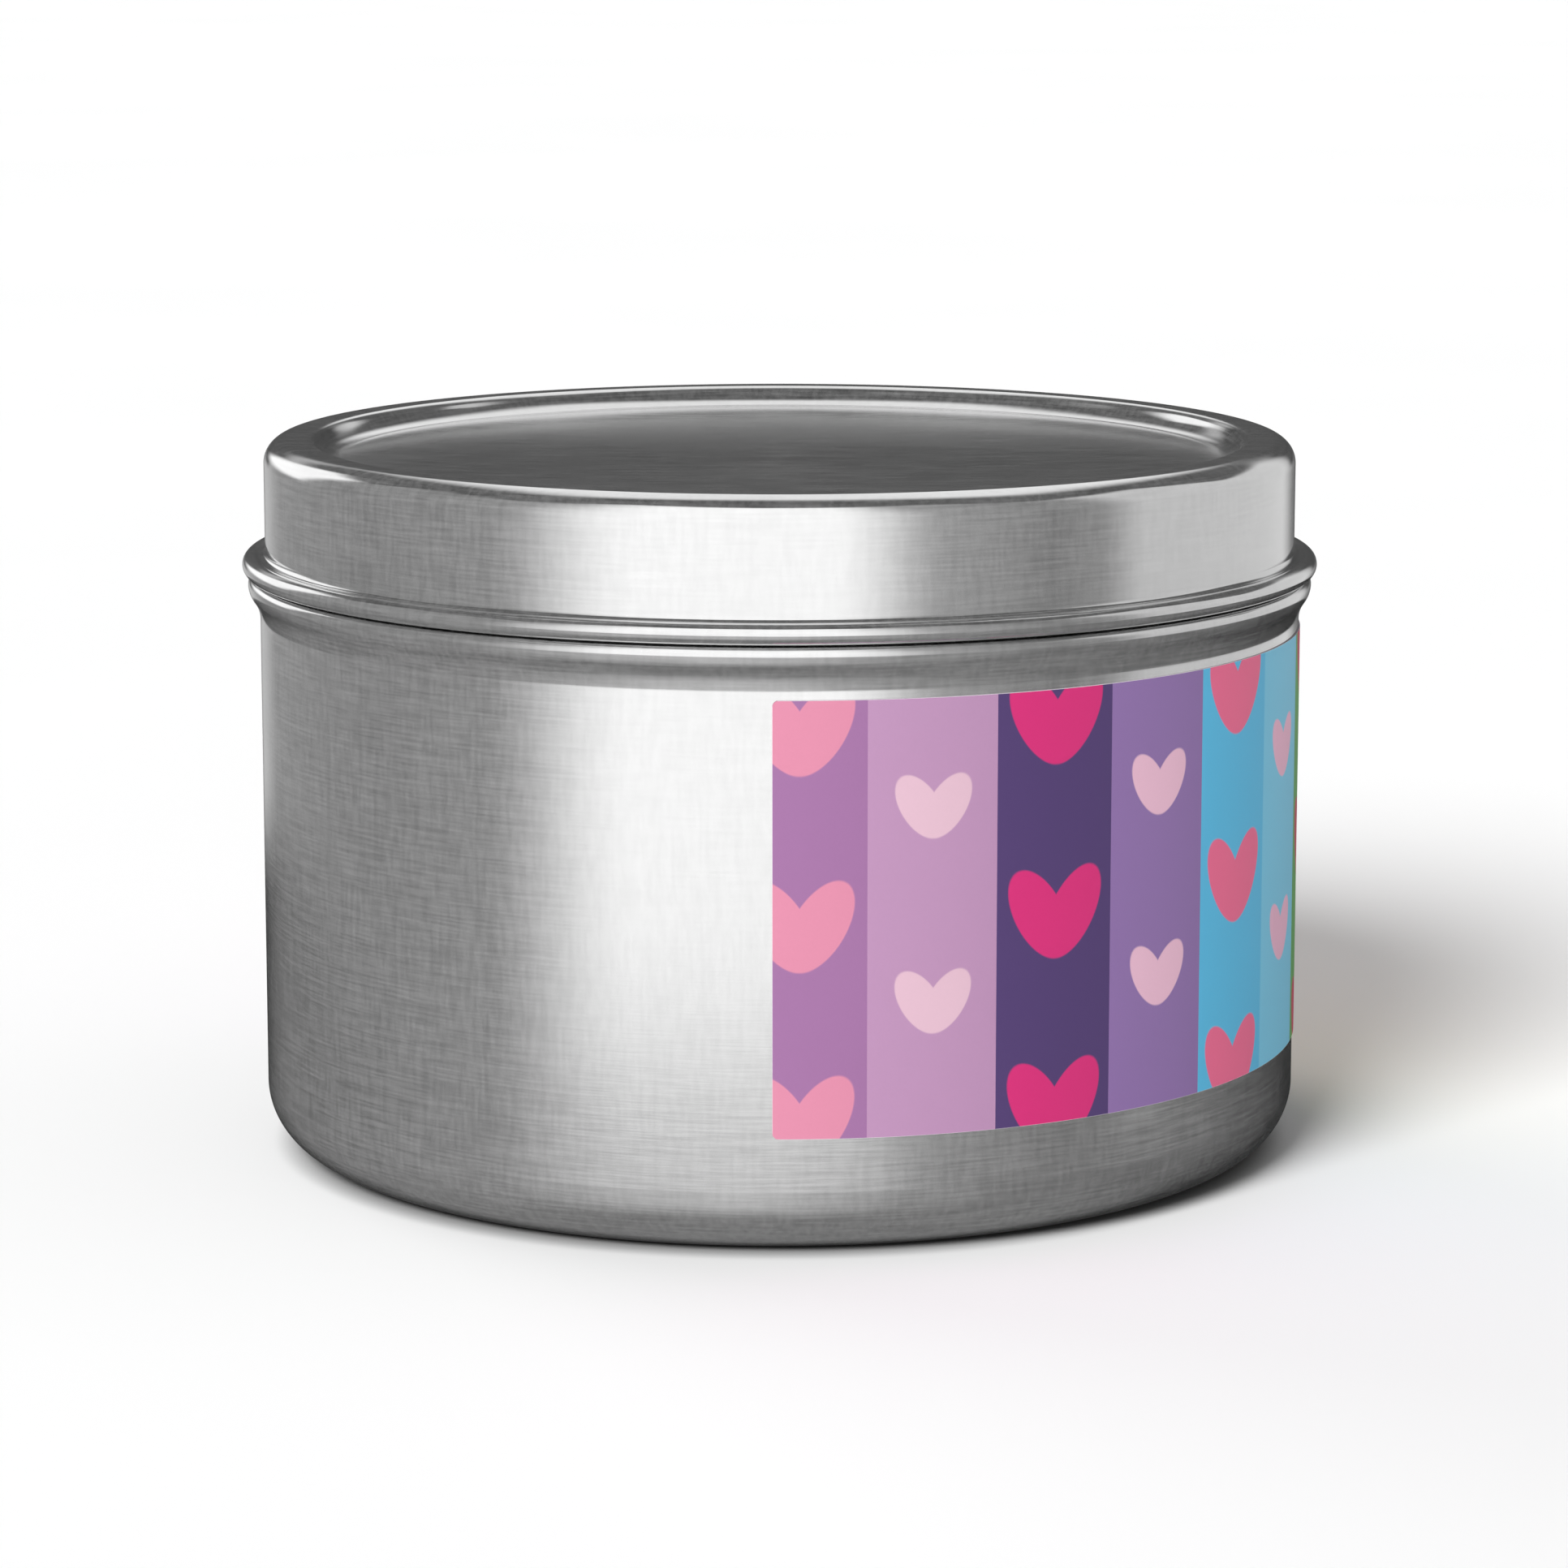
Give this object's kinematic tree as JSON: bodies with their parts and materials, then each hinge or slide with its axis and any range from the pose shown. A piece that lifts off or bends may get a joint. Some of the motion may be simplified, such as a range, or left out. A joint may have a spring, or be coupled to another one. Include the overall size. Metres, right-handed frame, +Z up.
{
  "type": "candle tin",
  "caption": "Round seamless tinplate candle tin with a rolled-edge slip lid, a wrap-around patterned label and a poured wax candle with a tabbed wick inside.",
  "frame": {"origin": "on the tin's axis, at the level of the standing ring it rests on", "axes": "+Z up along the axis through the lid, -Y out of the front of the tin, +X to the right of someone facing it"},
  "size_m": [0.0826, 0.0826, 0.0549],
  "materials": {
    "body_tinplate": "bright tinplate with a fine horizontal grain",
    "lid_tinplate": "bright tinplate, grain round the skirt and across the panel",
    "label_paper": "printed paper with a satin coat",
    "wax": "soft satin, slightly translucent",
    "wick_cotton": "braided cotton with a thin coat of wax",
    "core_paper": "matte",
    "tab_steel": "stamped tinplate",
    "sticker_foam": "closed-cell foam",
    "base_paper": "uncoated, blank"
  },
  "bodies": {
    "tin": {"tin_body": "body_tinplate", "label": "label_paper", "wax": "wax", "wick_braid": "wick_cotton", "wick_core": "core_paper", "wick_tab": "tab_steel", "wick_sticker": "sticker_foam", "base_label": "base_paper"},
    "lid": {"lid": "lid_tinplate"}
  },
  "joints": [
    {"name": "lid_lift", "type": "slide", "parent": "tin", "child": "lid", "axis": [0, 0, 1], "range_m": [0, 0.04]}
  ]
}
